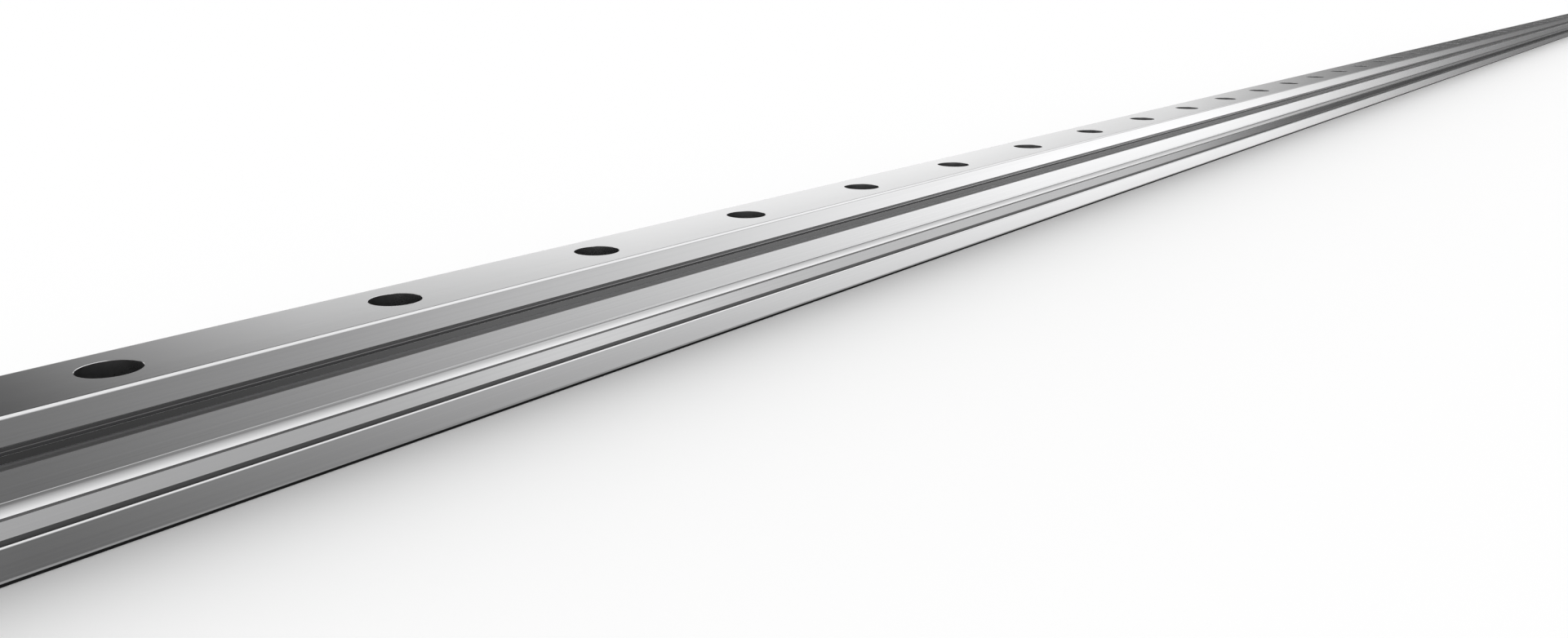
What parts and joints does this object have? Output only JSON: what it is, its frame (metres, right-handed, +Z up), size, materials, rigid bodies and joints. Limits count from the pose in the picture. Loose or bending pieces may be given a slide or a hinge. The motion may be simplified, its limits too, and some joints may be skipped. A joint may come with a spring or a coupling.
{
  "type": "linear guide rail",
  "caption": "Straight ground-steel profile guide rail with ball raceways along both flanks and a row of counterbored screw holes in its top.",
  "frame": {"origin": "centre of the mounting face, half way along the rail", "axes": "+X along the rail, +Y across it, +Z up from the mounting face to the top with the screw heads"},
  "size_m": [2.52, 0.023, 0.0275],
  "materials": {
    "ground_steel": "ground lengthwise"
  },
  "bodies": {
    "root": {"rail": "ground_steel"}
  },
  "joints": []
}
